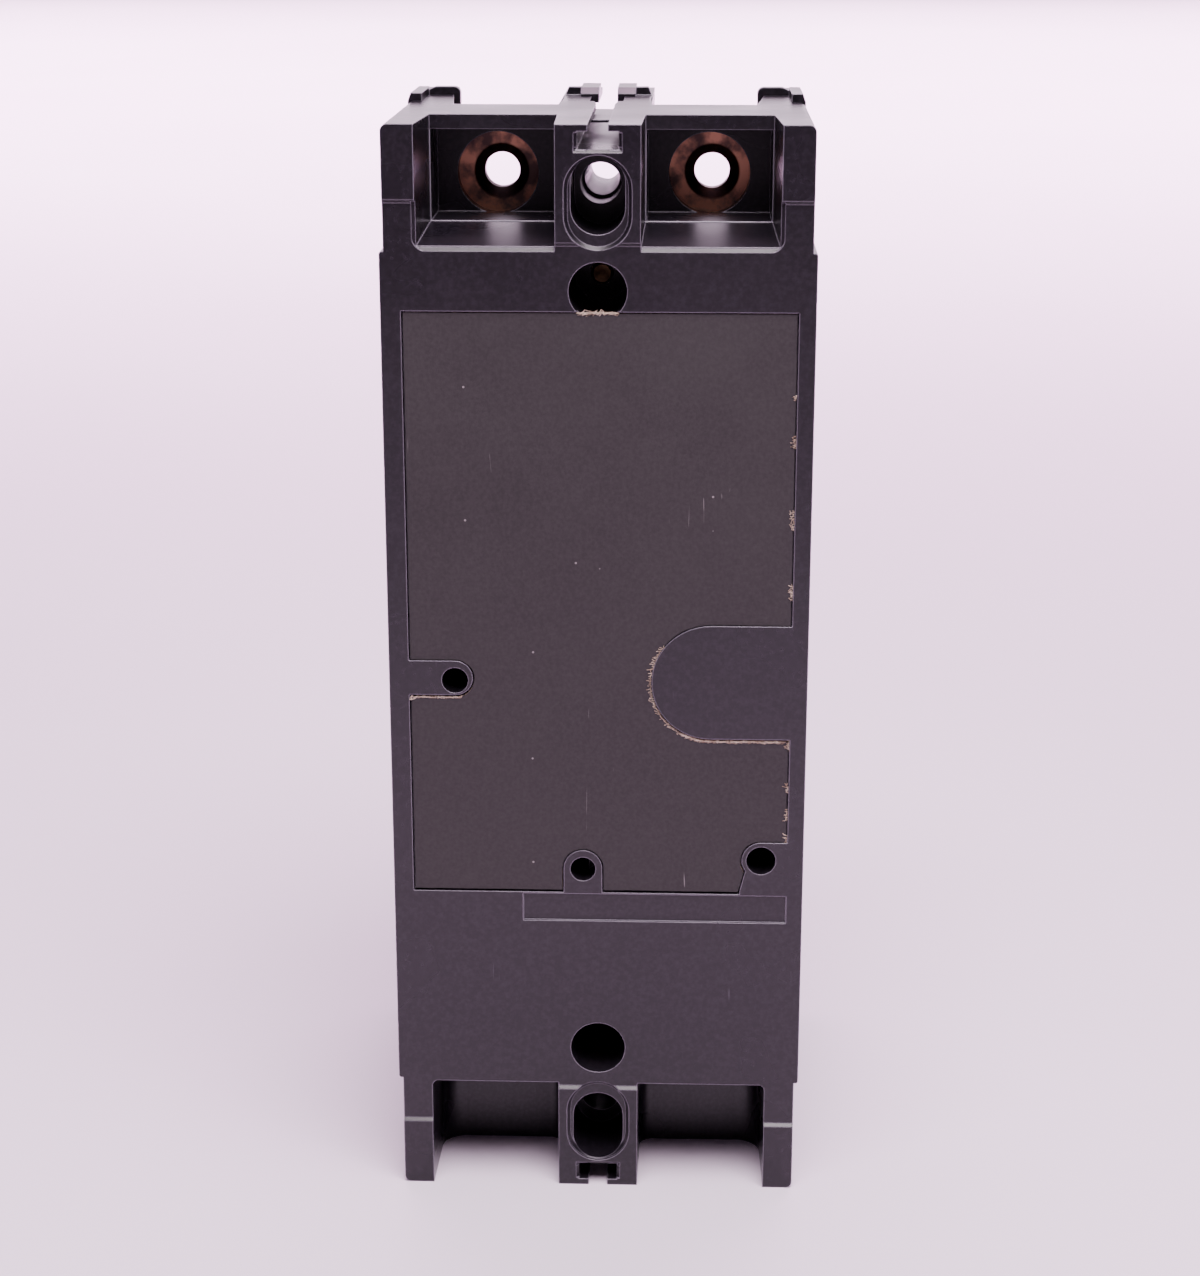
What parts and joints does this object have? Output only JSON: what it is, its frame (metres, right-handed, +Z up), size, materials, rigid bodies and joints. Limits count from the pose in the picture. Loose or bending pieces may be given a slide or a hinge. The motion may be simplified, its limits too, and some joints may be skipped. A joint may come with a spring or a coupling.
{
  "type": "molded case circuit breaker",
  "caption": "Two-pole moulded case breaker with a flat fibre-backed rear, open terminal ends, barrier slots, mounting bores and a front toggle handle.",
  "frame": {"origin": "centre of the bounding box in X and Y, at the bottom faces of the load-end legs", "axes": "+Z up towards the line end, -Y towards the front and its handle, +Y towards the flat mounting back, +X to the left when seen from the back"},
  "size_m": [0.0492, 0.0692, 0.131],
  "materials": {
    "case_thermoset": "semi-gloss moulded thermoset, near black with a faint violet cast",
    "vulcanised_fibre": "matte dark grey vulcanised fibre",
    "copper": "tarnished copper",
    "silver_contact": "silver contact alloy",
    "zinc_steel": "zinc plated steel",
    "brass_screw": "yellow passivated brass",
    "spring_steel": "oiled spring steel",
    "cream_thermoset": "glass filled thermoset, natural cream",
    "plate_aluminium": "blank anodised plate",
    "red_button": "red moulded button"
  },
  "bodies": {
    "case": {"base": "case_thermoset", "cover": "case_thermoset", "insulation_sheet": "vulcanised_fibre", "cover_screws": "zinc_steel", "rating_plate": "plate_aluminium", "line_terminal_1": "copper", "line_terminal_2": "copper", "load_terminal_1": "copper", "load_terminal_2": "copper", "load_screws": "brass_screw", "load_washers": "zinc_steel", "load_spring_washers": "spring_steel", "fixed_contacts": "silver_contact", "braid_1": "copper", "braid_2": "copper", "side_frame_1": "zinc_steel", "side_frame_2": "zinc_steel", "frame_spacer": "zinc_steel", "handle_pivot_studs": "zinc_steel", "link_pivot_pin": "zinc_steel", "cradle_pin": "zinc_steel", "arc_plates_1": "zinc_steel", "arc_plates_2": "zinc_steel", "arc_boards_1": "vulcanised_fibre", "arc_boards_2": "vulcanised_fibre", "vent_plates": "vulcanised_fibre", "heater_1": "copper", "heater_2": "copper", "bimetal_1": "brass_screw", "bimetal_2": "brass_screw", "calibration_screws": "brass_screw", "magnet_yoke_1": "zinc_steel", "magnet_yoke_2": "zinc_steel", "armature_pins": "zinc_steel", "trip_bar_brackets": "zinc_steel", "trip_button_guide": "zinc_steel", "trip_button_spring": "spring_steel", "trip_bar_spring": "spring_steel"},
    "handle_body": {"handle": "case_thermoset", "handle_arm": "zinc_steel", "spring_bar": "zinc_steel", "main_spring": "spring_steel"},
    "contact_carrier": {"contact_bar": "cream_thermoset", "moving_arm_1": "copper", "moving_arm_2": "copper", "moving_contacts": "silver_contact", "arm_pins": "zinc_steel", "carrier_pin": "zinc_steel", "contact_leaf_springs": "spring_steel"},
    "upper_link_body": {"upper_links": "zinc_steel", "toggle_pin": "zinc_steel"},
    "lower_link_body": {"lower_links": "zinc_steel"},
    "cradle_body": {"cradle": "zinc_steel"},
    "trip_bar_body": {"trip_bar": "cream_thermoset"},
    "armature_body_1": {"armature_1": "zinc_steel"},
    "armature_body_2": {"armature_2": "zinc_steel"},
    "trip_button_body": {"trip_button": "red_button"}
  },
  "joints": [
    {"name": "handle_rock", "type": "hinge", "parent": "case", "child": "handle_body", "pos_m": [0, -0.00186, 0.069], "axis": [-1, 0, 0], "range_deg": [0, 34], "deforming": ["main_spring"]},
    {"name": "contact_carrier_turn", "type": "hinge", "parent": "case", "child": "contact_carrier", "pos_m": [0, 0.00764, 0.068], "axis": [-1, 0, 0], "range_deg": [0, 24.02], "deforming": ["braid_1", "braid_2"]},
    {"name": "upper_link_swing", "type": "hinge", "parent": "case", "child": "upper_link_body", "pos_m": [0, -0.00856, 0.0684], "axis": [-1, 0, 0], "range_deg": [0, 23.07]},
    {"name": "lower_link_swing", "type": "hinge", "parent": "upper_link_body", "child": "lower_link_body", "pos_m": [0, -0.00578, 0.0778], "axis": [-1, 0, 0], "range_deg": [-38.02, 0]},
    {"name": "cradle_release", "type": "hinge", "parent": "case", "child": "cradle_body", "pos_m": [0, -0.01186, 0.061], "axis": [1, 0, 0], "range_deg": [0, 20]},
    {"name": "trip_button_press", "type": "slide", "parent": "case", "child": "trip_button_body", "axis": [0, 1, 0], "range_m": [0, 0.002], "stiffness_N_per_m": 200, "springref_m": -0.001, "deforming": ["trip_button_spring"]},
    {"name": "trip_bar_turn", "type": "hinge", "parent": "case", "child": "trip_bar_body", "pos_m": [0, -0.01036, 0.047], "axis": [-1, 0, 0], "range_deg": [0, 8.02]},
    {"name": "armature_pull_1", "type": "hinge", "parent": "case", "child": "armature_body_1", "pos_m": [0.0125, -0.00336, 0.035], "axis": [-1, 0, 0], "range_deg": [0, 5]},
    {"name": "armature_pull_2", "type": "hinge", "parent": "case", "child": "armature_body_2", "pos_m": [-0.0125, -0.00336, 0.035], "axis": [-1, 0, 0], "range_deg": [0, 5]}
  ],
  "couplings": [
    {"joint": "contact_carrier_turn", "follows": "handle_rock", "ratio": 0.70588},
    {"joint": "upper_link_swing", "follows": "handle_rock", "ratio": 0.67805},
    {"joint": "lower_link_swing", "follows": "handle_rock", "ratio": -1.1177},
    {"joint": "trip_bar_turn", "follows": "trip_button_press", "rad_per_m": 69.813}
  ]
}
